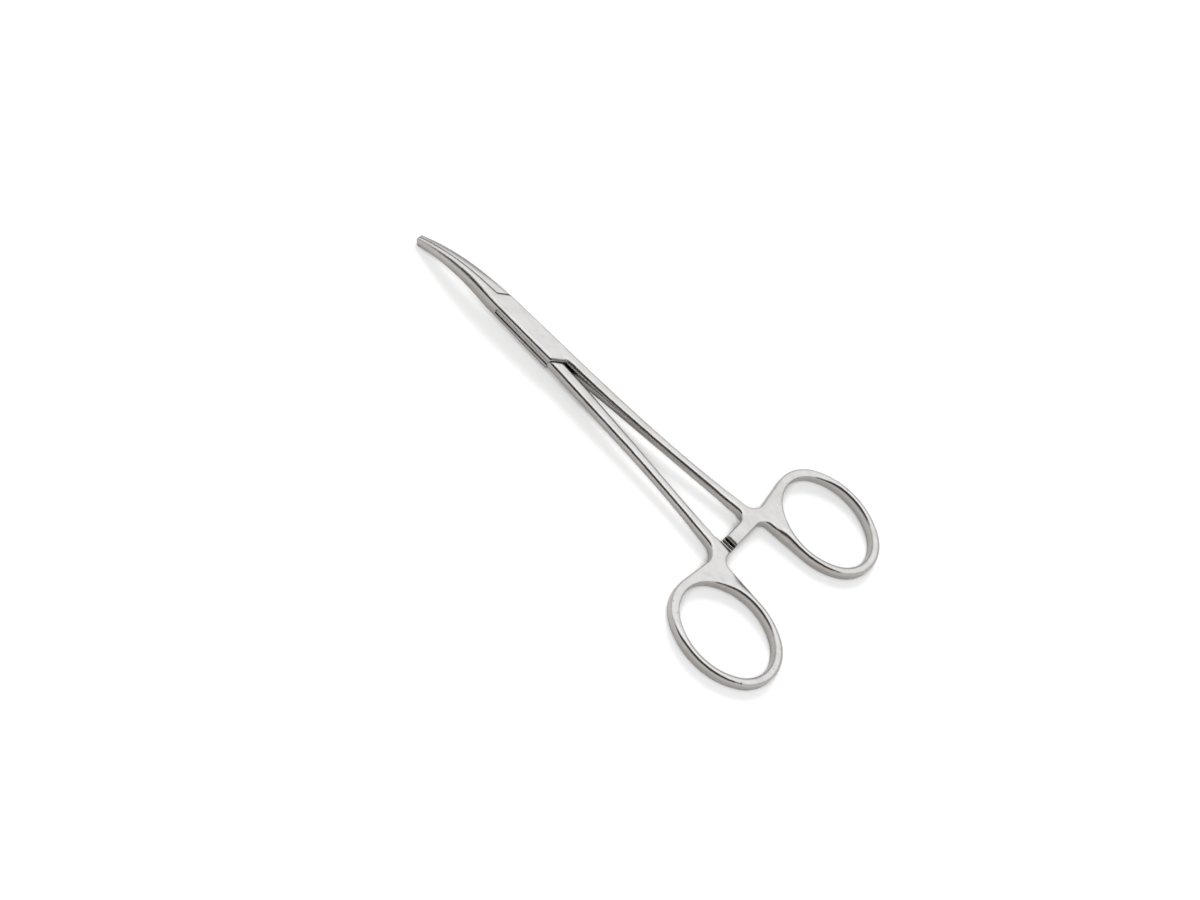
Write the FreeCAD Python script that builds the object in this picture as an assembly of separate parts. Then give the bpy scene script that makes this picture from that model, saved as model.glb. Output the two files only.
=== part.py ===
import FreeCAD, Part
import math
import os

Vector = FreeCAD.Vector

# Curved box-lock hemostat. It is drawn in the plane of its handles: X runs from the finger rings
# to the jaw tips, Y across the two rings, Z along the box pin, and the pin's middle is the origin.
# The female arm has its jaw at +Y and its ring at -Y. The male arm passes through its box.
# The last step lays the closed instrument down on its jaw tips and ring ends, on the plane Z = 0.

# Box lock
box_half_width = 3.15
box_half_height = 2.47
box_edge_radius = 0.75
shoulder_reach = 12.2
tenon_half_height = 0.7
tenon_inset = 0.1
tenon_root = 1.3
slide_clearance = 0.05
shoulder_clearance = 0.12
box_shoulder_bevel = 0.45
jaw_shoulder_bevel = 0.25
pin_radius = 1.5
pin_running_clearance = 0.04

# Jaws
tip_reach = 37.2
bend_start = 15.5
bend_radius = 47.0
jaw_root_half_width = 2.77
jaw_root_half_height = 2.22
jaw_tip_half_width = 1.17
jaw_tip_half_height = 1.22
jaw_edge_radius = 0.75
jaw_steps = 6
jaw_lip_radius = 0.3
male_jaw_drop = 0.2
jaw_clearance = 0.06
serration_pitch = 0.8
serration_depth = 0.3
serration_start = 14.0

# Shanks
shank_edge_radius = 0.85
crotch_half_gap = 0.1
shank_start_reach = 9.0
shank_start_outer = 4.0
shank_start_half_height = 1.8
shank_root_half_height = 1.5
shank_middle_reach = 38.0
shank_middle_inner = 2.3
shank_middle_outer = 5.05
shank_middle_half_height = 1.38
shank_end_reach = 67.0
shank_end_inner = 5.35
shank_end_outer = 7.93
shank_end_half_height = 1.5
root_blend_reach = 31.0
root_stations = 3
shank_stations = 3

# Finger rings, set back from the ends of the shanks
ring_setback = 20.1
ring_centre_y = 23.0
ring_hole_long = 13.65
ring_hole_short = 10.85
ring_turn = 0.8
ring_side_band = 1.9
ring_end_band = 2.5
ring_half_height = 1.75
ring_end_fullness = 1.5
web_outer_setback = 5.7
web_outer_radius = 4.0
web_inner_y = 9.2
web_inner_radius = 2.8

# Ratchet bars, also set back from the ends of the shanks
bar_setback = 4.2
bar_width = 3.6
bar_overlap = 2.75
bar_front_radius = 2.3
bar_end_bevel = 0.5
tooth_count = 8
tooth_pitch = 1.0
tooth_height = 0.45
ratchet_clearance = 0.06

# Reach of a cutting shape that only has to pass the part's outside
CLEAR = 12.0

ring_centre_x = -shank_end_reach - ring_setback
bar_front_x = -shank_end_reach - bar_setback
bar_rear_x = bar_front_x - bar_width

# Three places on each curved edge of the shank at +Y, from the box to the ratchet, and on its top
outer_edge = ((-shank_start_reach, shank_start_outer), (-shank_middle_reach, shank_middle_outer),
              (-shank_end_reach, shank_end_outer))
inner_edge = ((-shoulder_reach, crotch_half_gap), (-shank_middle_reach, shank_middle_inner),
              (-shank_end_reach, shank_end_inner))
top_edge = ((-shank_start_reach, shank_start_half_height), (-shank_middle_reach, shank_middle_half_height),
            (-shank_end_reach, shank_end_half_height))


def prism(points, low, high):
    """Upright solid over a closed outline of (x, y) points."""
    outline = Part.makePolygon([Vector(x, y, low) for x, y in points + points[:1]])
    return Part.Face(outline).extrude(Vector(0, 0, high - low))


def corner_arc(before, corner, after, radius):
    """Arc that rounds a corner between two straight edges, with its start and end points."""
    to_before = (before - corner).normalize()
    to_after = (after - corner).normalize()
    half = 0.5 * math.acos(max(-1.0, min(1.0, to_before.dot(to_after))))
    start = corner + to_before * (radius / math.tan(half))
    end = corner + to_after * (radius / math.tan(half))
    bisector = (to_before + to_after).normalize()
    middle = corner + bisector * (radius / math.sin(half) - radius)
    return Part.Arc(start, middle, end).toShape(), start, end


def edge_circle(edge):
    """Circle through the three places of a shank's edge."""
    return Part.Arc(*[Vector(x, y, 0) for x, y in edge]).toShape().Curve


def edge_at(edge, x):
    """How far out a shank's edge lies at a place along X."""
    circle = edge_circle(edge)
    offset = math.sqrt(circle.Radius ** 2 - (x - circle.Center.x) ** 2)
    return circle.Center.y + math.copysign(offset, edge[0][1] - circle.Center.y)


def edge_beyond(edge, x):
    """Point on the straight line that carries a shank's edge on past its end."""
    circle = edge_circle(edge)
    end_x, end_y = edge[2]
    slope = -(end_x - circle.Center.x) / (end_y - circle.Center.y)
    return Vector(x, end_y + slope * (x - end_x), 0)


def ring_point(x, y):
    """Point of the ring at +Y, given from its middle along its long and its short axis."""
    turn = math.radians(ring_turn)
    return Vector(ring_centre_x + x * math.cos(turn) - y * math.sin(turn),
                  ring_centre_y + x * math.sin(turn) + y * math.cos(turn), 0)


def oval_centres(long_axis, short_axis):
    """Distances from an oval's middle to the centres of its end arcs and of its side arcs."""
    difference = long_axis - short_axis
    to_end = ring_end_fullness * difference
    to_side = difference * (2 * to_end - difference) / (2 * (to_end - difference))
    return to_end, to_side


def oval_face(long_axis, short_axis):
    """Face of an oval that is made of two end arcs and two side arcs."""
    to_end, to_side = oval_centres(long_axis, short_axis)
    end_radius = long_axis - to_end
    join = math.atan2(to_side, to_end)
    join_x = to_end + end_radius * math.cos(join)
    join_y = end_radius * math.sin(join)
    stops = [(join_x, -join_y), (long_axis, 0), (join_x, join_y), (0, short_axis),
             (-join_x, join_y), (-long_axis, 0), (-join_x, -join_y), (0, -short_axis),
             (join_x, -join_y)]
    points = [ring_point(x, y) for x, y in stops]
    arcs = [Part.Arc(*points[index:index + 3]).toShape() for index in (0, 2, 4, 6)]
    return Part.Face(Part.Wire(arcs))


def tangent_point(corner, centre, radius, side):
    """Point where a line from a corner touches a circle, on the given side."""
    away = corner - centre
    angle = math.atan2(away.y, away.x) + side * math.acos(radius / away.Length)
    return centre + Vector(radius * math.cos(angle), radius * math.sin(angle), 0)


def ring_end_face(front_x):
    """Outline of the shank's end, web, ratchet bar and ring, for the ring at +Y. The front of the
    shank and the end of the bar run on a little, and are cut square after the rims are rounded."""
    long_axis = ring_hole_long + ring_end_band
    short_axis = ring_hole_short + ring_side_band
    to_end, to_side = oval_centres(long_axis, short_axis)
    outer_front = edge_beyond(outer_edge, front_x)
    inner_front = edge_beyond(inner_edge, front_x)
    outer_corner = edge_beyond(outer_edge, -shank_end_reach - web_outer_setback)
    inner_corner = Vector(bar_rear_x, web_inner_y, 0)
    bar_corner = edge_beyond(inner_edge, bar_front_x)
    bar_end_rear = Vector(bar_rear_x, -bar_overlap - shank_edge_radius, 0)
    bar_end_front = Vector(bar_front_x, -bar_overlap - shank_edge_radius, 0)
    outer_touch = tangent_point(outer_corner, ring_point(to_end, 0), long_axis - to_end, 1)
    inner_touch = tangent_point(inner_corner, ring_point(0, to_side), short_axis + to_side, -1)

    outer_round, outer_a, outer_b = corner_arc(outer_front, outer_corner, outer_touch, web_outer_radius)
    inner_round, inner_a, inner_b = corner_arc(inner_touch, inner_corner, bar_end_rear, web_inner_radius)
    bar_round, bar_a, bar_b = corner_arc(bar_end_front, bar_corner, inner_front, bar_front_radius)

    line = Part.makeLine
    web = Part.Face(Part.Wire([
        line(outer_front, outer_a), outer_round, line(outer_b, outer_touch),
        line(outer_touch, inner_touch),
        line(inner_touch, inner_a), inner_round, line(inner_b, bar_end_rear),
        line(bar_end_rear, bar_end_front), line(bar_end_front, bar_a), bar_round,
        line(bar_b, inner_front), line(inner_front, outer_front),
    ]))
    whole = web.fuse(oval_face(long_axis, short_axis)).removeSplitter()
    return whole.cut(oval_face(ring_hole_long, ring_hole_short))


def ring_end():
    """Shank's end, web, ring and full-height ratchet bar with rounded rims, for the ring at +Y."""
    front_x = -shank_end_reach + 2 * shank_edge_radius
    upper = ring_end_face(front_x).extrude(Vector(0, 0, ring_half_height)).Solids[0]
    rims = []
    for edge in upper.Edges:
        box = edge.BoundBox
        at_cut = box.XMin > -shank_end_reach or box.YMax < -bar_overlap
        if box.ZMin > 0.5 * ring_half_height and not at_cut:
            rims.append(edge)
    upper = upper.makeFillet(shank_edge_radius, rims)
    lower = upper.mirror(Vector(0, 0, 0), Vector(0, 0, 1))
    ahead = Part.makeBox(CLEAR, 2 * CLEAR, 2 * CLEAR, Vector(-shank_end_reach, -CLEAR, -CLEAR))
    bar_end = [(-bar_overlap - CLEAR, -CLEAR), (-bar_overlap + bar_end_bevel, -ring_half_height),
               (-bar_overlap, -ring_half_height + bar_end_bevel),
               (-bar_overlap, ring_half_height - bar_end_bevel),
               (-bar_overlap + bar_end_bevel, ring_half_height), (-bar_overlap - CLEAR, CLEAR)]
    outline = [Vector(bar_rear_x - CLEAR, y, z) for y, z in bar_end]
    past_bar = Part.Face(Part.makePolygon(outline + outline[:1])).extrude(Vector(2 * CLEAR, 0, 0))
    return upper.fuse(lower).removeSplitter().cut([ahead, past_bar]).Solids[0]


def rounded_section(middle, slope, low, high, half_height, low_radius, high_radius):
    """Rounded rectangle across the arm, from low to high in Y, leaning with the bend. Its two
    corners at low and its two corners at high each have their own radius."""
    up = Vector(math.sin(slope), 0, math.cos(slope))

    def place(y, z):
        return middle + Vector(0, y, 0) + up * z

    def corner(y, z, radius, turn):
        """Quarter circle in the corner at y, z, from one side to the next one round the section."""
        to_y = math.copysign(radius, y - 0.5 * (low + high))
        to_z = math.copysign(radius, z)
        centre_y = y - to_y
        centre_z = z - to_z
        on_side = place(centre_y + to_y, centre_z)
        on_top = place(centre_y, centre_z + to_z)
        middle_of_arc = place(centre_y + to_y * math.sqrt(0.5), centre_z + to_z * math.sqrt(0.5))
        stops = (on_top, on_side) if turn else (on_side, on_top)
        return Part.Arc(stops[0], middle_of_arc, stops[1]).toShape()

    tall = half_height
    return Part.Wire([
        Part.makeLine(place(low + low_radius, -tall), place(high - high_radius, -tall)),
        corner(high, -tall, high_radius, True),
        Part.makeLine(place(high, -tall + high_radius), place(high, tall - high_radius)),
        corner(high, tall, high_radius, False),
        Part.makeLine(place(high - high_radius, tall), place(low + low_radius, tall)),
        corner(low, tall, low_radius, True),
        Part.makeLine(place(low, tall - low_radius), place(low, -tall + low_radius)),
        corner(low, -tall, low_radius, False),
    ])


def handle(root_reach, root_half_width, root_half_height, root_radius):
    """Shank, web, ratchet bar and ring for the ring at +Y. The shank's root has its own half
    width, half height and rounding, and blends into the plain shank."""
    root_step = (root_blend_reach - root_reach) / root_stations
    shank_step = (shank_end_reach - root_blend_reach) / shank_stations
    reaches = [root_reach + index * root_step for index in range(root_stations)]
    reaches += [root_blend_reach + index * shank_step for index in range(shank_stations)]
    sections = []
    for reach in reaches:
        x = -reach
        left = max(0.0, (root_blend_reach - reach) / (root_blend_reach - root_reach)) ** 2
        outer = edge_at(outer_edge, x) - left * (edge_at(outer_edge, -root_reach) - root_half_width)
        half_height = edge_at(top_edge, x) + left * (root_half_height - edge_at(top_edge, -root_reach))
        radius = shank_edge_radius + left * (root_radius - shank_edge_radius)
        inner = max(crotch_half_gap, edge_at(inner_edge, x))
        sections.append(rounded_section(Vector(x, 0, 0), 0, inner, outer, half_height, radius, radius))
    rear = ring_end()
    front_faces = [face for face in rear.Faces if abs(face.CenterOfMass.x + shank_end_reach) < 0.001]
    sections.append(front_faces[0].OuterWire)
    shank = Part.makeLoft(sections, True, False)
    return shank.fuse(rear).removeSplitter().Solids[0]


def ratchet_cut():
    """What is taken from the upper half of the lower bar: the recess and its saw teeth."""
    front = edge_beyond(inner_edge, -shank_end_reach)
    rear = edge_beyond(inner_edge, bar_rear_x - ratchet_clearance)
    return prism([(front.x, front.y), (rear.x, rear.y), (rear.x, -CLEAR), (front.x, -CLEAR)],
                 -ratchet_clearance - tooth_height, CLEAR)


def ratchet_teeth():
    """Saw teeth on the lower bar. Each rises away from the bar's end and drops steeply."""
    root = -ratchet_clearance - tooth_height
    points = []
    for index in range(tooth_count):
        start = -bar_overlap + index * tooth_pitch
        points.append((start, root))
        points.append((start + tooth_pitch, -ratchet_clearance))
    points.append((-bar_overlap + tooth_count * tooth_pitch, root))
    points.append((-bar_overlap + tooth_count * tooth_pitch, root - tooth_height))
    points.append((-bar_overlap, root - tooth_height))
    outline = Part.makePolygon([Vector(bar_rear_x, y, z) for y, z in points + points[:1]])
    return Part.Face(outline).extrude(Vector(bar_width, 0, 0))


def with_ratchet(full_handle):
    """A handle whose bar is cut down to the lower ratchet bar."""
    return full_handle.cut(ratchet_cut()).fuse(ratchet_teeth()).removeSplitter()


def bend(reach):
    """Middle of the jaws' height and their slope at a reach along X."""
    run = max(0.0, reach - bend_start)
    drop = bend_radius - math.sqrt(bend_radius ** 2 - run ** 2)
    return Vector(reach, 0, -drop), math.asin(run / bend_radius)


def half_size(reach):
    """Half the width and half the height of the box or the closed jaws at a reach along X."""
    if reach < shoulder_reach:
        share = (reach + shoulder_reach) / (2 * shoulder_reach)
        return (box_half_width + share * (jaw_root_half_width - box_half_width),
                box_half_height + share * (jaw_root_half_height - box_half_height))
    share = (reach - shoulder_reach) / (tip_reach - shoulder_reach)
    return (jaw_root_half_width + share * (jaw_tip_half_width - jaw_root_half_width),
            jaw_root_half_height + share * (jaw_tip_half_height - jaw_root_half_height))


def female_jaw_section(reach):
    middle, slope = bend(reach)
    half_width, half_height = half_size(reach)
    return rounded_section(middle, slope, 0, half_width, half_height, jaw_lip_radius, jaw_edge_radius)


def male_jaw_section(reach):
    """The male jaw lies a little lower at its root, and reaches on to its serrations' crests."""
    middle, slope = bend(reach)
    half_width, half_height = half_size(reach)
    drop = male_jaw_drop * min(1.0, (tip_reach - reach) / (tip_reach - shoulder_reach))
    return rounded_section(middle, slope, -half_width, serration_depth - jaw_clearance,
                           half_height - drop, jaw_edge_radius, jaw_lip_radius)


def curved_jaw(section, root_reach):
    """One closed jaw as a curved, tapering bar with rounded edges and no serrations yet."""
    step = (tip_reach - shoulder_reach) / jaw_steps
    reaches = [shoulder_reach + index * step for index in range(jaw_steps + 1)]
    if root_reach < shoulder_reach:
        reaches.insert(0, root_reach)
    return Part.makeLoft([section(reach) for reach in reaches], True, False)


def parting_wire(level, apex_shift, side_shift):
    """Outline of the male arm's side of the jaws in a plane Z = level. The serrations stand
    square to the bent jaws, so each point moves with its slope."""
    apex = (shoulder_reach + apex_shift, side_shift)
    points = [apex]
    count = int((tip_reach - serration_start) / serration_pitch) + 1
    for index in range(count + 1):
        reach = serration_start + index * serration_pitch
        middle, slope = bend(reach)
        half_pitch_middle, half_pitch_slope = bend(reach + 0.5 * serration_pitch)
        x = reach + (level - middle.z) * math.tan(slope)
        half_x = reach + 0.5 * serration_pitch + (level - half_pitch_middle.z) * math.tan(half_pitch_slope)
        points.append((x, side_shift))
        points.append((half_x, side_shift + serration_depth))
    last_x = points[-1][0] + CLEAR
    points.append((last_x, side_shift))
    points.append((last_x, -CLEAR))
    points.append((shoulder_reach + apex_shift - CLEAR - side_shift, -CLEAR))
    return Part.makePolygon([Vector(x, y, level) for x, y in points + points[:1]])


def parting_solid(apex_shift, side_shift):
    """Space on the male arm's side of the closed jaws, ahead of the box's front shoulder."""
    low = parting_wire(-CLEAR, apex_shift, side_shift)
    high = parting_wire(0.5 * CLEAR, apex_shift, side_shift)
    return Part.makeLoft([low, high], True, True)


def blunted(jaws):
    """The closed jaws with their end rounded in plan and in side view."""
    middle, slope = bend(tip_reach)
    place = FreeCAD.Placement(middle, FreeCAD.Rotation(Vector(0, 1, 0), math.degrees(slope)))
    wide = jaw_tip_half_width
    tall = jaw_tip_half_height
    in_plan = Part.makeBox(wide + CLEAR, 2 * CLEAR, 2 * CLEAR, Vector(-wide, -CLEAR, -CLEAR))
    nose = Part.makeCylinder(wide, 2 * CLEAR, Vector(-wide, 0, -CLEAR))
    nose.rotate(Vector(-wide, 0, 0), Vector(0, 0, 1), 180)
    in_plan = in_plan.cut(nose)
    in_side = Part.makeBox(tall + CLEAR, 2 * CLEAR, 2 * CLEAR, Vector(-tall, -CLEAR, -CLEAR))
    in_side = in_side.cut(Part.makeCylinder(tall, 2 * CLEAR, Vector(-tall, -CLEAR, 0), Vector(0, 1, 0)))
    for cutter in (in_plan, in_side):
        cutter.Placement = place
        jaws = jaws.cut(cutter)
    return jaws


def box_section(reach):
    half_width, half_height = half_size(reach)
    return rounded_section(Vector(reach, 0, 0), 0, -half_width, half_width, half_height,
                           box_edge_radius, box_edge_radius)


def box_block():
    """The box between its rear shoulder and its front shoulder, which both slant by 45 degrees."""
    block = Part.makeLoft([box_section(-shoulder_reach), box_section(shoulder_reach)], True, True)
    shoulder = [(-shoulder_reach, 0), (-shoulder_reach + CLEAR, CLEAR), (-2 * CLEAR, CLEAR),
                (-2 * CLEAR, 0)]
    behind = prism(shoulder, -CLEAR, CLEAR)
    ahead = prism([(-x, -y) for x, y in shoulder], -CLEAR, CLEAR)
    return filed_shoulder(block.cut([behind, ahead]), -shoulder_reach, box_half_height,
                          box_shoulder_bevel, 1)


def slot():
    """Slot through the box. The jaw's root and the shank's root close its opposite ends."""
    side = 0.5 * CLEAR
    half = tenon_half_height + slide_clearance
    return prism([(shoulder_reach, 0), (shoulder_reach - side, side), (-shoulder_reach - side, side),
                  (-shoulder_reach - side, 0), (-shoulder_reach, 0), (-shoulder_reach + side, -side),
                  (shoulder_reach + side, -side), (shoulder_reach + side, 0)], -half, half)


def tenon():
    """Flat middle of the male arm, as wide as the box less an inset. Its ends run into the roots
    of the arm's jaw and shank."""
    reach = shoulder_reach - shoulder_clearance
    inside = reach + tenon_root
    rear_wide = box_half_width - tenon_inset
    front_wide = jaw_root_half_width - tenon_inset
    return prism([(reach, 0), (reach - front_wide, front_wide), (-inside, rear_wide),
                  (-inside, crotch_half_gap), (-reach, 0), (-reach + rear_wide, -rear_wide),
                  (inside - front_wide, -front_wide), (inside, -jaw_clearance),
                  (reach, -jaw_clearance)],
                 -tenon_half_height, tenon_half_height)


def filed_shoulder(solid, plane, half_height, bevel, side):
    """A solid with the top and bottom edges of its slanting shoulder filed off. The shoulder is
    the plane x - y = plane, and lies on one side of the middle."""
    edge = half_height - bevel
    profile = [(-CLEAR, edge - CLEAR), (CLEAR, edge + CLEAR), (-CLEAR, edge + CLEAR)]
    points = [Vector(plane + away * math.sqrt(2), 0, z) for away, z in profile + profile[:1]]
    wedge = Part.Face(Part.makePolygon(points)).extrude(Vector(side * CLEAR, side * CLEAR, 0))
    return solid.cut([wedge, wedge.mirror(Vector(0, 0, 0), Vector(0, 0, 1))])


def upright_pin(radius, half_length):
    return Part.makeCylinder(radius, 2 * half_length, Vector(0, 0, -half_length))


def female_arm():
    jaw = blunted(curved_jaw(female_jaw_section, shoulder_reach)).cut(parting_solid(0, 0))
    shank = with_ratchet(handle(shoulder_reach, box_half_width, box_half_height, box_edge_radius))
    shank.rotate(Vector(0, 0, 0), Vector(1, 0, 0), 180)
    body = box_block().fuse([jaw, shank]).removeSplitter()
    return body.cut(slot()).cut(upright_pin(pin_radius, CLEAR)).Solids[0]


def male_arm():
    root_reach = shoulder_reach - box_half_width
    jaw = blunted(curved_jaw(male_jaw_section, root_reach))
    jaw = jaw.common(parting_solid(shoulder_clearance, -jaw_clearance))
    jaw = filed_shoulder(jaw, shoulder_reach + shoulder_clearance + jaw_clearance,
                         half_size(shoulder_reach)[1] - male_jaw_drop, jaw_shoulder_bevel, -1)
    shank = with_ratchet(handle(shank_start_reach, box_half_width, shank_root_half_height,
                                shank_edge_radius))
    shoulder_x = -shoulder_reach - shoulder_clearance
    ahead = prism([(shoulder_x - CLEAR, -CLEAR), (shoulder_x + CLEAR, CLEAR), (CLEAR, CLEAR),
                   (CLEAR, -CLEAR)], -CLEAR, CLEAR)
    body = jaw.fuse([tenon(), shank.cut(ahead)]).removeSplitter()
    return body.cut(upright_pin(pin_radius + pin_running_clearance, CLEAR)).Solids[0]


def rest_placement():
    """Turn about Y and shift that lay the closed instrument on its ring ends and jaw tips.
    In side view the ring's end has rounded rims and the jaws end in a round nose."""
    ring_end = ring_centre_x - ring_hole_long - ring_end_band
    rim_x = ring_end + shank_edge_radius
    rim_z = ring_half_height - shank_edge_radius
    tip, slope = bend(tip_reach)
    nose_x = tip.x - jaw_tip_half_height * math.cos(slope)
    nose_z = tip.z + jaw_tip_half_height * math.sin(slope)
    span = math.hypot(nose_x - rim_x, -rim_z - nose_z)
    turn = (math.asin((shank_edge_radius - jaw_tip_half_height) / span)
            - math.atan2(-rim_z - nose_z, nose_x - rim_x))
    floor = -rim_x * math.sin(turn) - rim_z * math.cos(turn) - shank_edge_radius
    rear = rim_x * math.cos(turn) + rim_z * math.sin(turn) - shank_edge_radius
    front = nose_x * math.cos(turn) + nose_z * math.sin(turn) + jaw_tip_half_height
    return FreeCAD.Placement(Vector(-0.5 * (rear + front), 0, -floor),
                             FreeCAD.Rotation(Vector(0, 1, 0), math.degrees(turn)))


def build():
    """Every piece of the instrument, closed and at rest."""
    pieces = {
        "female_arm": female_arm(),
        "male_arm": male_arm(),
        "box_pin": upright_pin(pin_radius, half_size(0)[1]),
    }
    place = rest_placement()
    for name in pieces:
        pieces[name] = pieces[name].transformed(place.toMatrix())
    return pieces


os.makedirs("parts", exist_ok=True)
for piece_name, piece in build().items():
    piece.exportStep(os.path.join("parts", piece_name + ".step"))
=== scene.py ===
import math

import bmesh
import bpy
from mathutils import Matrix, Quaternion, Vector

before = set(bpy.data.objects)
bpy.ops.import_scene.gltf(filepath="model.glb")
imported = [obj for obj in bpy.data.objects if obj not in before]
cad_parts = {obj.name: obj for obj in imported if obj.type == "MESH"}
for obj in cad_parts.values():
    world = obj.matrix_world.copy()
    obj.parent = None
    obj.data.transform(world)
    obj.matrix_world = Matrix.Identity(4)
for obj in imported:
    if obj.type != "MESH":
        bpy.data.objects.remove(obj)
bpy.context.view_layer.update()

# Closed curved hemostat on a pale table, seen from above its male ring. The scene is in metres, in
# the same frame as the solids.

MM = 0.001

# Camera, as in the photograph
CAMERA_PLACE = Vector((-0.04275, 0.34904, 0.46043))
CAMERA_AIM = Vector((-0.00064, 0.00768, -0.0002))
CAMERA_ROLL = math.radians(38.072)
CAMERA_LENS = 69.0
CAMERA_SENSOR = 36.0
CAMERA_NEAREST = 0.01

# Table
TABLE_SIZE = 6.0
TABLE_COLOUR = (0.92, 0.92, 0.92, 1.0)
# Painted shade: the table's colour as the steel reflects it
TABLE_SHADE_IN_STEEL = (0.57, 0.55, 0.532, 1.0)
TABLE_ROUGHNESS = 0.9

# Studio: what lights the table, and what the steel reflects
ROOM_LIGHT = 0.42
HORIZON = 0.52
LOW_SKY = 0.72
SOFT_BOX = 1.17
ZENITH = 1.5
FLAG_LIGHT = (0.06, 0.053, 0.049, 1.0)
FLAG_DIRECTION = Vector((-0.13, 0.832, 0.539))
FLAG_SQUEEZE = (0.62, 1.0, 1.0)
FLAG_FROM = math.cos(math.radians(43.0))
FLAG_FULL = math.cos(math.radians(31.0))
KEY_PLACE = Vector((0.55, -0.80, 0.95))
KEY_SIZE = 0.75
KEY_POWER = 10.5
FILL_PLACE = Vector((-0.05, 0.75, 1.05))
FILL_SIZE = 0.8
FILL_POWER = 12.5

# Places that the finish follows, in millimetres, and the slope of the arms as they lie at rest
PIN_X = 32.9
PIN_MIDDLE_Z = 4.865
REST_SLOPE = 0.0304
BEND_START_X = 48.4
BEND_RADIUS = 47.0
BOX_END_X = 45.1
BOX_REAR_X = 20.7
BOX_HALF_WIDTH = 3.2
JAW_TIP_X = 70.1
SHANK_ROOT_X = 23.9
SHANK_MIDDLE_X = -5.1
SHANK_END_X = -34.1
RING_MIDDLE_X = -54.2
RING_MIDDLE_Y = 23.0
RING_START_X = -36.0
PARTING_Y = 0.12

# Half widths at both ends of a jaw and of a shank's first half, and how far a shank's middle line
# stands from the parting there. The line stands SHANK_SPREAD further out at the shank's end.
JAW_HALF_WIDTHS = (2.77, 1.17)
SHANK_HALF_WIDTHS = (1.95, 1.36)
SHANK_ASIDE = (2.05, 3.68)
SHANK_SPREAD = 2.96

# Half lengths and half widths of the ovals that the belt lines and the ring's crown follow
LINES_OVAL = (15.2, 12.2)
CROWN_OVAL = (14.9, 11.8)
CROWN_OVAL_RADIUS = 13.0

# Steel's colour: the tint, what warm and cool patches multiply it by, and what makes the patches
STEEL_TINT = (0.62, 0.612, 0.602)
WARM_PATCH = (0.93, 0.915, 0.90)
COOL_PATCH = (1.04, 1.045, 1.055)
CLOUD_WEIGHT = 0.65
MOTTLE_WEIGHT = 0.35
GRAIN_WEIGHT = 0.25
MARK_COLOUR = (0.42, 0.38, 0.35, 1.0)
MARK_STRENGTH = 0.8
# Painted shade: the colour multiplied into the steel in gaps, tooth valleys, inner corners and along seams
PAINTED_SHADE_COLOUR = (0.16, 0.145, 0.135, 1.0)

# Steel's roughness, and how far each effect changes it
SATIN = 0.22
RUBBED = 0.12
PIN_RIM = 0.2
MOTTLE_ROUGHNESS = 0.16
STREAK_ROUGHNESS = 0.14
MARK_ROUGHNESS = 0.25

# Steel's relief, in millimetres
LINE_DEPTH = 0.0003
WAVE_DEPTH = 0.05
MARK_DEPTH = 0.03
EDGE_RADIUS = 0.9
CREVICE_REACH = 0.9
RAY_COUNT = 8

# Factors for a crown that falls with the square or the cube, so that its slope at the edge is the
# one that is given
SQUARE_FALL = -0.5
CUBE_FALL = -0.333

# Nicks seen in the photograph: place in millimetres, turn in plan, and half sizes
MALE_NICKS = (
    ((-67.74, 22.17, 3.6), 0.9, (0.5, 0.22, 0.9)),
    ((-68.94, 21.82, 3.96), 0.3, (0.3, 0.2, 0.8)),
    ((-65.28, 31.79, 3.7), 0.2, (0.22, 0.4, 0.9)),
    ((-39.98, 28.56, 3.7), 0.6, (0.55, 0.25, 0.9)),
    ((-42.6, 30.17, 3.96), 0.6, (0.4, 0.22, 0.8)),
    ((-22.64, 13.15, 5.0), 0.1, (0.6, 0.3, 1.4)))
FEMALE_NICKS = (
    ((-39.95, -22.23, 3.96), 0.0, (0.28, 0.28, 0.8)),
    ((-52.51, -34.79, 3.6), 0.4, (0.6, 0.25, 0.9)))


# Node helpers

def add_group(name, inputs, outputs):
    """Empty shader node group with named sockets. Inputs map a name to its type and value."""
    tree = bpy.data.node_groups.new(name, "ShaderNodeTree")
    for label, (kind, value) in inputs.items():
        socket = tree.interface.new_socket(name=label, in_out="INPUT", socket_type="NodeSocket" + kind)
        if value is not None:
            socket.default_value = value
    for label, kind in outputs.items():
        tree.interface.new_socket(name=label, in_out="OUTPUT", socket_type="NodeSocket" + kind)
    return tree, tree.nodes.new("NodeGroupInput"), tree.nodes.new("NodeGroupOutput")


def join(tree, source, target):
    tree.links.new(source, target)


def feed(tree, value, target):
    """Another node's output is linked to the socket. A number, place or colour is set on it."""
    if isinstance(value, bpy.types.NodeSocket):
        join(tree, value, target)
    else:
        target.default_value = value


def place_group(tree, group, values):
    node = tree.nodes.new("ShaderNodeGroup")
    node.node_tree = group
    for label, value in values.items():
        feed(tree, value, node.inputs[label])
    return node


def calculate(tree, operation, first, second=0.0, third=None, clamp=False):
    node = tree.nodes.new("ShaderNodeMath")
    node.operation = operation
    node.use_clamp = clamp
    feed(tree, first, node.inputs[0])
    feed(tree, second, node.inputs[1])
    if third is not None:
        feed(tree, third, node.inputs[2])
    return node.outputs["Value"]


def vector_math(tree, operation, first, second=None, output="Vector"):
    """The output is Value where the operation gives one number."""
    node = tree.nodes.new("ShaderNodeVectorMath")
    node.operation = operation
    feed(tree, first, node.inputs[0])
    if second is not None:
        feed(tree, second, node.inputs[1])
    return node.outputs[output]


def stretch_range(tree, value, low, high, to_low, to_high, smooth=True):
    node = tree.nodes.new("ShaderNodeMapRange")
    node.interpolation_type = "SMOOTHSTEP" if smooth else "LINEAR"
    feed(tree, value, node.inputs["Value"])
    for label, number in (("From Min", low), ("From Max", high), ("To Min", to_low), ("To Max", to_high)):
        feed(tree, number, node.inputs[label])
    return node.outputs["Result"]


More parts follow.
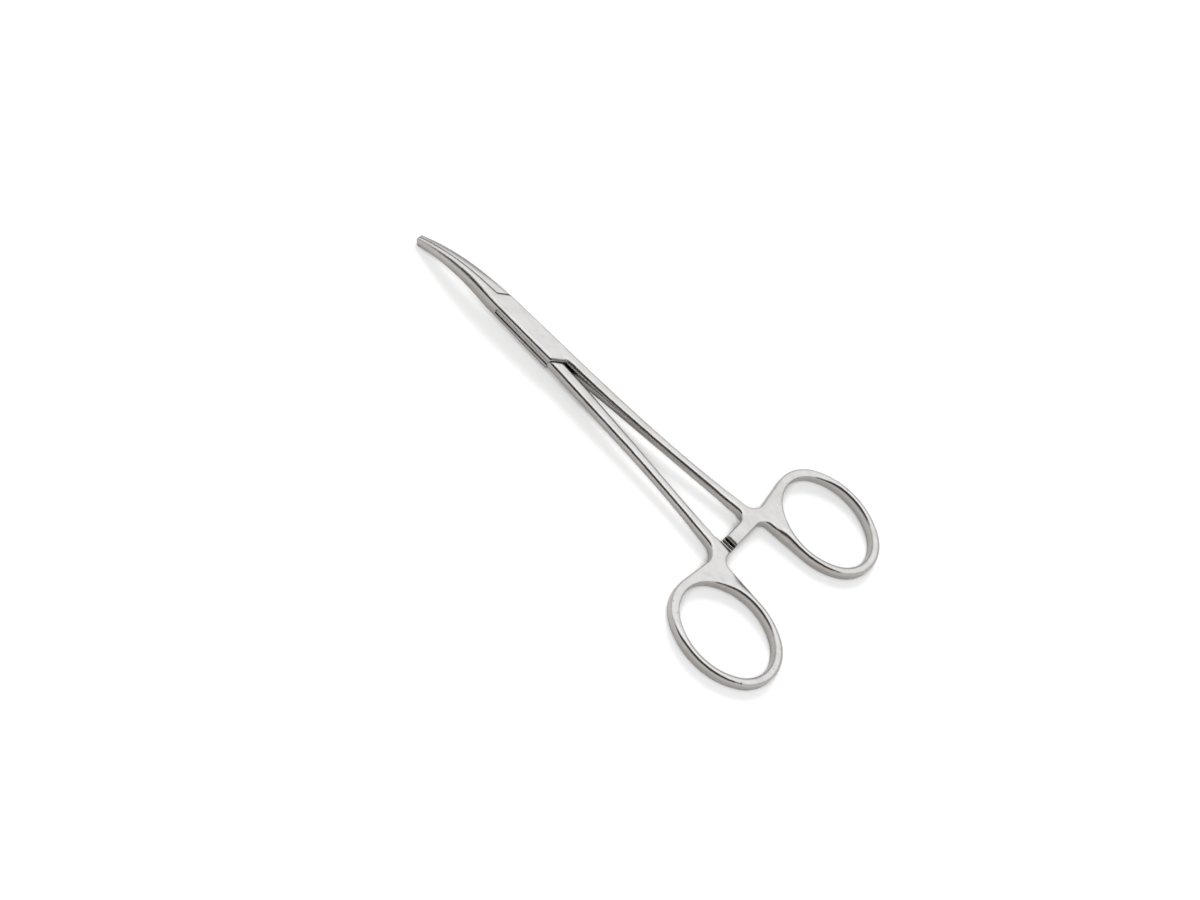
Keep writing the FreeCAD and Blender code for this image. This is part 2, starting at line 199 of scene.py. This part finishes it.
def noise(tree, vector, scale, detail, roughness=0.5, distortion=0.0):
    node = tree.nodes.new("ShaderNodeTexNoise")
    feed(tree, vector, node.inputs["Vector"])
    for label, value in (("Scale", scale), ("Detail", detail), ("Roughness", roughness),
                         ("Distortion", distortion)):
        feed(tree, value, node.inputs[label])
    return node.outputs["Fac"]


def centred(tree, value, weight):
    """A noise's value about 0 instead of about a half, times a weight."""
    return calculate(tree, "MULTIPLY", calculate(tree, "SUBTRACT", value, 0.5), weight)


def components(tree, vector):
    node = tree.nodes.new("ShaderNodeSeparateXYZ")
    join(tree, vector, node.inputs["Vector"])
    return node.outputs["X"], node.outputs["Y"], node.outputs["Z"]


def combined(tree, x, y, z):
    node = tree.nodes.new("ShaderNodeCombineXYZ")
    for label, value in (("X", x), ("Y", y), ("Z", z)):
        feed(tree, value, node.inputs[label])
    return node.outputs["Vector"]


def in_millimetres(tree, position):
    return vector_math(tree, "MULTIPLY", position, (1.0 / MM,) * 3)


def mixed(tree, kind, factor, first, second, blend="MIX"):
    """Mix of two vectors or of two colours. The kind is VECTOR or RGBA."""
    node = tree.nodes.new("ShaderNodeMix")
    node.data_type = kind
    node.blend_type = blend
    feed(tree, factor, node.inputs["Factor"])
    feed(tree, first, node.inputs["A"])
    feed(tree, second, node.inputs["B"])
    return node.outputs["Result"]


def colour_ramp(tree, factor, stops, interpolation="LINEAR"):
    """The stops are places with their colours, in order."""
    node = tree.nodes.new("ShaderNodeValToRGB")
    ramp = node.color_ramp
    ramp.interpolation = interpolation
    for element, (place, colour) in ((ramp.elements[0], stops[0]), (ramp.elements[1], stops[-1])):
        element.position = place
        element.color = colour
    for place, colour in stops[1:-1]:
        ramp.elements.new(place).color = colour
    join(tree, factor, node.inputs["Fac"])
    return node.outputs["Color"]


def new_material(name):
    material = bpy.data.materials.new(name)
    material.use_nodes = True
    tree = material.node_tree
    tree.nodes.clear()
    output = tree.nodes.new("ShaderNodeOutputMaterial")
    shader = tree.nodes.new("ShaderNodeBsdfPrincipled")
    join(tree, shader.outputs["BSDF"], output.inputs["Surface"])
    return material, tree, shader


# Effects of the steel's making and use, and masks for painted shade

def ring_share(tree, along, aside, oval):
    """How far a place is from a finger ring's middle, as shares of an oval's half length and half
    width, and in all, which is 1 on the oval."""
    long_part = calculate(tree, "DIVIDE", calculate(tree, "SUBTRACT", along, RING_MIDDLE_X), oval[0])
    short_part = calculate(tree, "DIVIDE", calculate(tree, "SUBTRACT", aside, RING_MIDDLE_Y), oval[1])
    squares = calculate(tree, "ADD", calculate(tree, "MULTIPLY", long_part, long_part),
                        calculate(tree, "MULTIPLY", short_part, short_part))
    return long_part, short_part, calculate(tree, "SQRT", squares)


def grind_lines():
    """Fine belt lines. They run along the arms, and round each finger ring."""
    tree, given, put_out = add_group(
        "grind_lines", {"Position": ("Vector", None), "Line Width mm": ("Float", 0.06)},
        {"Lines": "Float", "Broad Lines": "Float"})
    along, across, up = (calculate(tree, "DIVIDE", part, MM)
                         for part in components(tree, given.outputs["Position"]))
    aside = calculate(tree, "ABSOLUTE", across)
    long_part, short_part, share = ring_share(tree, along, aside, LINES_OVAL)
    radius = calculate(tree, "MULTIPLY", share, LINES_OVAL[1])
    angle = calculate(tree, "ARCTAN2", short_part, long_part)

    # The pattern is drawn out along the arm, and round the ring
    on_arm = combined(tree, calculate(tree, "MULTIPLY", along, 0.16), across, up)
    on_ring = combined(tree, calculate(tree, "MULTIPLY", angle, 2.4), radius, up)
    at_ring = stretch_range(tree, along, RING_START_X, RING_START_X - 5.0, 0.0, 1.0)
    laid = mixed(tree, "VECTOR", at_ring, on_arm, on_ring)

    fineness = calculate(tree, "DIVIDE", 0.5, given.outputs["Line Width mm"])
    join(tree, noise(tree, laid, fineness, 3.0, roughness=0.65), put_out.inputs["Lines"])
    join(tree, noise(tree, laid, 1.6, 2.0), put_out.inputs["Broad Lines"])
    return tree


def forging_cloud():
    """Soft unevenness of a hand-finished forging, some millimetres wide."""
    tree, given, put_out = add_group(
        "forging_cloud", {"Position": ("Vector", None), "Patch mm": ("Float", 6.0)},
        {"Cloud": "Float", "Waves": "Float"})
    patch = given.outputs["Patch mm"]
    drawn_out = vector_math(tree, "MULTIPLY", given.outputs["Position"], (1.0 / MM, 1.6 / MM, 1.6 / MM))
    cloud = noise(tree, drawn_out, calculate(tree, "DIVIDE", 1.0, patch), 3.0, 0.55, distortion=0.4)
    waves = noise(tree, drawn_out, calculate(tree, "DIVIDE", 2.6, patch), 1.0)
    join(tree, cloud, put_out.inputs["Cloud"])
    join(tree, waves, put_out.inputs["Waves"])
    return tree


def worn_rims():
    """Where the surface turns over between the flat faces and the side walls."""
    tree, given, put_out = add_group("worn_rims", {"Normal": ("Vector", None)}, {"Rim": "Float"})
    upright = calculate(tree, "ABSOLUTE", components(tree, given.outputs["Normal"])[2])
    off_wall = stretch_range(tree, upright, 0.15, 0.45, 0.0, 1.0)
    off_flat = stretch_range(tree, upright, 0.9, 0.99, 1.0, 0.0)
    join(tree, calculate(tree, "MULTIPLY", off_wall, off_flat), put_out.inputs["Rim"])
    return tree


def pits():
    """Sparse tiny pits and specks."""
    tree, given, put_out = add_group(
        "pits", {"Position": ("Vector", None), "Spacing mm": ("Float", 3.0), "Share": ("Float", 0.3)},
        {"Pit": "Float"})
    places = tree.nodes.new("ShaderNodeTexVoronoi")
    places.feature = "F1"
    join(tree, in_millimetres(tree, given.outputs["Position"]), places.inputs["Vector"])
    join(tree, calculate(tree, "DIVIDE", 1.0, given.outputs["Spacing mm"]), places.inputs["Scale"])
    near = stretch_range(tree, places.outputs["Distance"], 0.02, 0.06, 1.0, 0.0)
    lot = tree.nodes.new("ShaderNodeSeparateColor")
    join(tree, places.outputs["Color"], lot.inputs["Color"])
    chosen = calculate(tree, "LESS_THAN", lot.outputs["Red"], given.outputs["Share"])
    join(tree, calculate(tree, "MULTIPLY", near, chosen), put_out.inputs["Pit"])
    return tree


def nick():
    """One nick at a given place, long one way."""
    tree, given, put_out = add_group(
        "nick", {"Position": ("Vector", None), "Place": ("Vector", None), "Turn": ("Float", 0.0),
                 "Half Size mm": ("Vector", None)}, {"Nick": "Float"})
    turned = tree.nodes.new("ShaderNodeVectorRotate")
    turned.rotation_type = "Z_AXIS"
    from_place = vector_math(tree, "SUBTRACT", given.outputs["Position"], given.outputs["Place"])
    join(tree, from_place, turned.inputs["Vector"])
    join(tree, given.outputs["Turn"], turned.inputs["Angle"])
    away = in_millimetres(tree, turned.outputs["Vector"])
    shaped = vector_math(tree, "DIVIDE", away, given.outputs["Half Size mm"])
    length = vector_math(tree, "LENGTH", shaped, output="Value")
    join(tree, stretch_range(tree, length, 0.45, 1.0, 1.0, 0.0), put_out.inputs["Nick"])
    return tree


def rounded_edges():
    """Hand-finished edges: the normal turns over gently within some distance of each edge. The
    pin's end is ground flush, so round it the face stays flat."""
    tree, given, put_out = add_group(
        "rounded_edges", {"Position": ("Vector", None), "Radius mm": ("Float", 0.8)}, {"Normal": "Vector"})
    bevel = tree.nodes.new("ShaderNodeBevel")
    bevel.samples = RAY_COUNT
    join(tree, calculate(tree, "MULTIPLY", given.outputs["Radius mm"], MM), bevel.inputs["Radius"])
    plain = tree.nodes.new("ShaderNodeNewGeometry")
    in_plan = vector_math(tree, "MULTIPLY", given.outputs["Position"], (1.0, 1.0, 0.0))
    from_pin = vector_math(tree, "DISTANCE", in_plan, (PIN_X * MM, 0.0, 0.0), output="Value")
    near_pin = stretch_range(tree, from_pin, 2.5 * MM, 3.0 * MM, 1.0, 0.0)
    join(tree, mixed(tree, "VECTOR", near_pin, bevel.outputs["Normal"], plain.outputs["Normal"]),
         put_out.inputs["Normal"])
    return tree


def fall(tree, distance, power, slope, factor):
    """Height that falls with a power of the distance from the crown's middle line."""
    return calculate(tree, "MULTIPLY", calculate(tree, "POWER", distance, power),
                     calculate(tree, "MULTIPLY", slope, factor))


def crowned_tops():
    """The hand finish crowns the surface: over the jaws from the parting line outwards, over each
    shank from its middle, round each ring's band, and up the side walls. The height is in
    millimetres, and a slope is the one at the edge."""
    tree, given, put_out = add_group(
        "crowned_tops", {"Position": ("Vector", None), "Jaw Slope": ("Float", 0.6),
                         "Shank Slope": ("Float", 0.5), "Ring Slope": ("Float", 0.5),
                         "Wall Slope per mm": ("Float", 0.16)}, {"Height": "Float"})
    along, across, up = components(tree, in_millimetres(tree, given.outputs["Position"]))
    aside = calculate(tree, "ABSOLUTE", across)

    half_width = stretch_range(tree, along, BOX_END_X, JAW_TIP_X, *JAW_HALF_WIDTHS, smooth=False)
    share = calculate(tree, "DIVIDE", aside, half_width)
    on_jaw = calculate(tree, "MULTIPLY", half_width,
                       fall(tree, share, 2.0, given.outputs["Jaw Slope"], SQUARE_FALL))
    in_jaw = stretch_range(tree, along, BOX_END_X - 5.0, BOX_END_X + 12.0, 0.0, 1.0)

    first = stretch_range(tree, along, SHANK_ROOT_X, SHANK_MIDDLE_X, *SHANK_ASIDE, smooth=False)
    second = stretch_range(tree, along, SHANK_MIDDLE_X, SHANK_END_X, 0.0, SHANK_SPREAD, smooth=False)
    half_width = stretch_range(tree, along, SHANK_ROOT_X, SHANK_MIDDLE_X, *SHANK_HALF_WIDTHS, smooth=False)
    offset = calculate(tree, "SUBTRACT", aside, calculate(tree, "ADD", first, second))
    share = calculate(tree, "ABSOLUTE", calculate(tree, "DIVIDE", offset, half_width))
    on_shank = calculate(tree, "MULTIPLY", half_width,
                         fall(tree, share, 3.0, given.outputs["Shank Slope"], CUBE_FALL))
    from_box = stretch_range(tree, along, SHANK_ROOT_X + 1.0, SHANK_ROOT_X - 6.0, 0.0, 1.0)
    to_bar = stretch_range(tree, along, SHANK_END_X + 8.0, SHANK_END_X + 2.0, 1.0, 0.0)
    in_shank = calculate(tree, "MULTIPLY", from_box, to_bar)

    share = ring_share(tree, along, aside, CROWN_OVAL)[2]
    off_oval = calculate(tree, "MULTIPLY", calculate(tree, "SUBTRACT", share, 1.0), CROWN_OVAL_RADIUS)
    on_ring = fall(tree, calculate(tree, "ABSOLUTE", off_oval), 2.0, given.outputs["Ring Slope"], SQUARE_FALL)
    in_ring = stretch_range(tree, along, RING_MIDDLE_X + 9.0, RING_MIDDLE_X + 3.0, 0.0, 1.0)

    # The walls' middle follows the slope of the arms at rest, and the jaws' bend
    from_pin = calculate(tree, "SUBTRACT", along, PIN_X)
    middle = calculate(tree, "MULTIPLY_ADD", from_pin, REST_SLOPE, PIN_MIDDLE_Z)
    past_bend = calculate(tree, "MAXIMUM", calculate(tree, "SUBTRACT", along, BEND_START_X), 0.0)
    drop = calculate(tree, "DIVIDE", calculate(tree, "POWER", past_bend, 2.0), 2.0 * BEND_RADIUS)
    level = calculate(tree, "ADD", calculate(tree, "SUBTRACT", up, middle), drop)
    total = fall(tree, calculate(tree, "ABSOLUTE", level), 2.0, given.outputs["Wall Slope per mm"],
                 SQUARE_FALL)

    for height, mask in ((on_jaw, in_jaw), (on_shank, in_shank), (on_ring, in_ring)):
        total = calculate(tree, "MULTIPLY_ADD", height, mask, total)
    join(tree, total, put_out.inputs["Height"])
    return tree


def crevice_shade():
    """Narrow gaps, tooth valleys and inner corners, where little light reaches: a mask for painted shade
    there.
    """
    tree, given, put_out = add_group("crevice_shade", {"Reach mm": ("Float", 0.6)}, {"Crevice": "Float"})
    openness = tree.nodes.new("ShaderNodeAmbientOcclusion")
    openness.samples = RAY_COUNT
    join(tree, calculate(tree, "MULTIPLY", given.outputs["Reach mm"], MM), openness.inputs["Distance"])
    join(tree, stretch_range(tree, openness.outputs["AO"], 0.48, 0.93, 1.0, 0.0), put_out.inputs["Crevice"])
    return tree


def painted_seam_shade():
    """Painted shade along the parting line of the jaws and along the lines where the shoulders meet, on the
    flat faces.
    """
    tree, given, put_out = add_group(
        "painted_seam_shade", {"Position": ("Vector", None), "Normal": ("Vector", None)}, {"Seam": "Float"})
    along, aside, _ = components(tree, in_millimetres(tree, given.outputs["Position"]))
    upright = calculate(tree, "ABSOLUTE", components(tree, given.outputs["Normal"])[2])
    on_top = stretch_range(tree, upright, 0.3, 0.6, 0.0, 1.0)

    def seam(value, middle, full, gone, darkness):
        """A line where the value is the middle, full within one distance and gone at another."""
        distance = calculate(tree, "ABSOLUTE", calculate(tree, "SUBTRACT", value, middle))
        return stretch_range(tree, distance, full, gone, darkness, 0.0)

    # Painted shade along the parting line, fading towards the tips
    parting = seam(aside, PARTING_Y, 0.12, 0.26, 1.0)
    ahead = stretch_range(tree, along, BOX_END_X - 0.1, BOX_END_X + 0.1, 0.0, 1.0)
    fading = stretch_range(tree, along, BOX_END_X + 2.0, BOX_END_X + 19.0, 0.95, 0.25)
    parting = calculate(tree, "MULTIPLY", calculate(tree, "MULTIPLY", parting, ahead), fading)

    # The shoulders slant at 45 degrees, on one side of the parting in front and on the other behind
    slant = calculate(tree, "SUBTRACT", along, aside)
    front = seam(slant, BOX_END_X, 0.15, 0.45, 0.9)
    front = calculate(tree, "MULTIPLY", front, stretch_range(tree, aside, 0.15, 0.0, 0.0, 1.0))
    rear = seam(slant, BOX_REAR_X, 0.2, 0.7, 0.9)
    rear = calculate(tree, "MULTIPLY", rear, stretch_range(tree, aside, 0.0, 0.15, 0.0, 1.0))
    in_box = stretch_range(tree, aside, BOX_HALF_WIDTH, BOX_HALF_WIDTH + 0.2, 1.0, 0.0)
    rear = calculate(tree, "MULTIPLY", rear, in_box)

    darkest = calculate(tree, "MAXIMUM", parting, calculate(tree, "MAXIMUM", front, rear))
    join(tree, calculate(tree, "MULTIPLY", darkest, on_top), put_out.inputs["Seam"])
    return tree


groups = {"lines": grind_lines(), "cloud": forging_cloud(), "rims": worn_rims(), "pits": pits(),
          "nick": nick(), "edges": rounded_edges(), "crevice_shade": crevice_shade(),
          "crowns": crowned_tops(), "seams": painted_seam_shade()}


def satin_steel(name, rim_roughness, edge_radius, nicks):
    """Surgical stainless steel: ground along the piece, glass-beaded, and polished on its rims."""
    material, tree, shader = new_material(name)
    coordinate = tree.nodes.new("ShaderNodeTexCoord")
    position = coordinate.outputs["Object"]
    normal = coordinate.outputs["Normal"]

    lines = place_group(tree, groups["lines"], {"Position": position, "Line Width mm": 0.07})
    cloud = place_group(tree, groups["cloud"], {"Position": position, "Patch mm": 7.0})
    mottle = place_group(tree, groups["cloud"], {"Position": position, "Patch mm": 2.2})
    specks = place_group(tree, groups["pits"], {"Position": position, "Spacing mm": 2.6, "Share": 0.22})
    rims = place_group(tree, groups["rims"], {"Normal": normal})
    edges = place_group(tree, groups["edges"], {"Position": position, "Radius mm": edge_radius})
    gaps = place_group(tree, groups["crevice_shade"], {"Reach mm": CREVICE_REACH})
    crowns = place_group(tree, groups["crowns"], {"Position": position})
    seams = place_group(tree, groups["seams"], {"Position": position, "Normal": normal})

    marks = specks.outputs["Pit"]
    for place, turn, half_size in nicks:
        mark = place_group(tree, groups["nick"], {
            "Position": position, "Place": [value * MM for value in place], "Turn": turn,
            "Half Size mm": half_size})
        marks = calculate(tree, "MAXIMUM", marks, mark.outputs["Nick"])

    # Colour: the tint, with warm and cool patches, light grain, darker marks, and painted shade in hollows
    # and seams
    warm, cool = ([value * share for value, share in zip(STEEL_TINT, patch)] + [1.0]
                  for patch in (WARM_PATCH, COOL_PATCH))
    shade = calculate(tree, "ADD", calculate(tree, "MULTIPLY", cloud.outputs["Cloud"], CLOUD_WEIGHT),
                      calculate(tree, "MULTIPLY", mottle.outputs["Cloud"], MOTTLE_WEIGHT))
    shade = calculate(tree, "ADD", shade, centred(tree, lines.outputs["Lines"], GRAIN_WEIGHT))
    colour = colour_ramp(tree, shade, ((0.36, warm), (0.5, [*STEEL_TINT, 1.0]), (0.64, cool)))
    marking = calculate(tree, "MULTIPLY", marks, MARK_STRENGTH)
    colour = mixed(tree, "RGBA", marking, colour, MARK_COLOUR, blend="MULTIPLY")
    # Painted shade where the occlusion mask finds gaps and corners, and along the seam lines
    painted_shade = calculate(tree, "MAXIMUM", gaps.outputs["Crevice"], seams.outputs["Seam"])
    colour = mixed(tree, "RGBA", painted_shade, colour, PAINTED_SHADE_COLOUR, blend="MULTIPLY")
    join(tree, colour, shader.inputs["Base Color"])
    shader.inputs["Metallic"].default_value = 1.0

    # Roughness: satin flats, rims rubbed brighter, and both uneven
    rough = calculate(tree, "ADD", calculate(tree, "MULTIPLY", rims.outputs["Rim"], rim_roughness - SATIN),
                      SATIN)
    uneven = calculate(tree, "ADD", centred(tree, mottle.outputs["Cloud"], MOTTLE_ROUGHNESS),
                       centred(tree, lines.outputs["Broad Lines"], STREAK_ROUGHNESS))
    rough = calculate(tree, "ADD", rough, uneven)
    rough = calculate(tree, "ADD", rough, calculate(tree, "MULTIPLY", marks, MARK_ROUGHNESS), clamp=True)
    join(tree, rough, shader.inputs["Roughness"])

    # Relief: belt lines, waves of the hand finish, pits, and the crowned tops
    relief = calculate(tree, "MULTIPLY", lines.outputs["Lines"], LINE_DEPTH)
    relief = calculate(tree, "ADD", relief, calculate(tree, "MULTIPLY", cloud.outputs["Waves"], WAVE_DEPTH))
    relief = calculate(tree, "SUBTRACT", relief, calculate(tree, "MULTIPLY", marks, MARK_DEPTH))
    relief = calculate(tree, "ADD", relief, crowns.outputs["Height"])
    bump = tree.nodes.new("ShaderNodeBump")
    bump.inputs["Strength"].default_value = 1.0
    bump.inputs["Distance"].default_value = MM
    join(tree, relief, bump.inputs["Height"])
    join(tree, edges.outputs["Normal"], bump.inputs["Normal"])
    join(tree, bump.outputs["Normal"], shader.inputs["Normal"])
    return material


# Surroundings

def table():
    """Pale table top that the instrument lies on. In the steel it shows as a mid grey, a painted shade of its
    reflection.
    """
    mesh = bpy.data.meshes.new("table_top")
    shape = bmesh.new()
    bmesh.ops.create_grid(shape, x_segments=1, y_segments=1, size=0.5 * TABLE_SIZE)
    shape.to_mesh(mesh)
    shape.free()
    top = bpy.data.objects.new("table_top", mesh)
    bpy.context.scene.collection.objects.link(top)
    material, tree, shader = new_material("white table")
    path = tree.nodes.new("ShaderNodeLightPath")
    # Painted shade: glossy rays see the table darker than the camera does
    colour = mixed(tree, "RGBA", path.outputs["Is Glossy Ray"], TABLE_COLOUR, TABLE_SHADE_IN_STEEL)
    join(tree, colour, shader.inputs["Base Color"])
    shader.inputs["Roughness"].default_value = TABLE_ROUGHNESS
    shader.inputs["Specular IOR Level"].default_value = 0.0
    mesh.materials.append(material)


def light_colour(level, green=1.0, blue=1.0):
    return (level, level * green, level * blue, 1.0)


def studio():
    """An even pale room lights the table. The steel sees a sky that brightens from a grey horizon
    to the zenith, and a dark flag on the side of the camera."""
    world = bpy.data.worlds.new("studio")
    bpy.context.scene.world = world
    world.use_nodes = True
    tree = world.node_tree
    tree.nodes.clear()
    output = tree.nodes.new("ShaderNodeOutputWorld")
    coordinate = tree.nodes.new("ShaderNodeTexCoord")
    direction = coordinate.outputs["Generated"]

    height = components(tree, direction)[2]
    sky = colour_ramp(tree, height, (
        (0.0, light_colour(HORIZON, 0.99, 0.98)), (0.3, light_colour(LOW_SKY, 0.995, 0.99)),
        (0.62, light_colour(SOFT_BOX)), (0.91, light_colour(SOFT_BOX * 1.04)),
        (1.0, light_colour(ZENITH))), interpolation="EASE")

    # The flag is a cone that the squeeze makes wider from side to side
    squeezed = vector_math(tree, "MULTIPLY", direction, FLAG_SQUEEZE)
    toward = vector_math(tree, "DOT_PRODUCT", vector_math(tree, "NORMALIZE", squeezed), FLAG_DIRECTION,
                         output="Value")
    flag = stretch_range(tree, toward, FLAG_FROM, FLAG_FULL, 0.0, 1.0)
    seen = mixed(tree, "RGBA", flag, sky, FLAG_LIGHT)

    in_steel = tree.nodes.new("ShaderNodeBackground")
    join(tree, seen, in_steel.inputs["Color"])
    pale = tree.nodes.new("ShaderNodeBackground")
    pale.inputs["Color"].default_value = light_colour(ROOM_LIGHT)
    path = tree.nodes.new("ShaderNodeLightPath")
    mix = tree.nodes.new("ShaderNodeMixShader")
    join(tree, path.outputs["Is Glossy Ray"], mix.inputs["Fac"])
    join(tree, pale.outputs["Background"], mix.inputs[1])
    join(tree, in_steel.outputs["Background"], mix.inputs[2])
    join(tree, mix.outputs["Shader"], output.inputs["Surface"])


def add_lamp(name, place, size, power):
    """A square soft light that shines on the middle of the table. The steel doesn't reflect it."""
    lamp = bpy.data.lights.new(name, "AREA")
    lamp.shape = "SQUARE"
    lamp.size = size
    lamp.energy = power
    light = bpy.data.objects.new(name, lamp)
    bpy.context.scene.collection.objects.link(light)
    light.location = place
    light.rotation_mode = "QUATERNION"
    light.rotation_quaternion = (-place).to_track_quat("-Z", "Y")
    light.visible_glossy = False


def camera():
    data = bpy.data.cameras.new("camera")
    data.lens = CAMERA_LENS
    data.sensor_width = CAMERA_SENSOR
    data.clip_start = CAMERA_NEAREST
    view = bpy.data.objects.new("camera", data)
    bpy.context.scene.collection.objects.link(view)
    look = (CAMERA_AIM - CAMERA_PLACE).to_track_quat("-Z", "Y")
    view.rotation_mode = "QUATERNION"
    view.rotation_quaternion = look @ Quaternion((0.0, 0.0, 1.0), CAMERA_ROLL)
    view.location = CAMERA_PLACE
    bpy.context.scene.camera = view


def dress(node, material):
    """Gives a solid from the frame its finish."""
    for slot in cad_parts[node].material_slots:
        slot.material = material


bpy.context.scene.view_settings.view_transform = "Standard"
camera()
studio()
add_lamp("key", KEY_PLACE, KEY_SIZE, KEY_POWER)
add_lamp("fill", FILL_PLACE, FILL_SIZE, FILL_POWER)
table()
dress("female_arm", satin_steel("satin steel, female arm", RUBBED, EDGE_RADIUS, FEMALE_NICKS))
dress("male_arm", satin_steel("satin steel, male arm", RUBBED, EDGE_RADIUS, MALE_NICKS))
dress("box_pin", satin_steel("satin steel, pin", PIN_RIM, 0.0, ()))
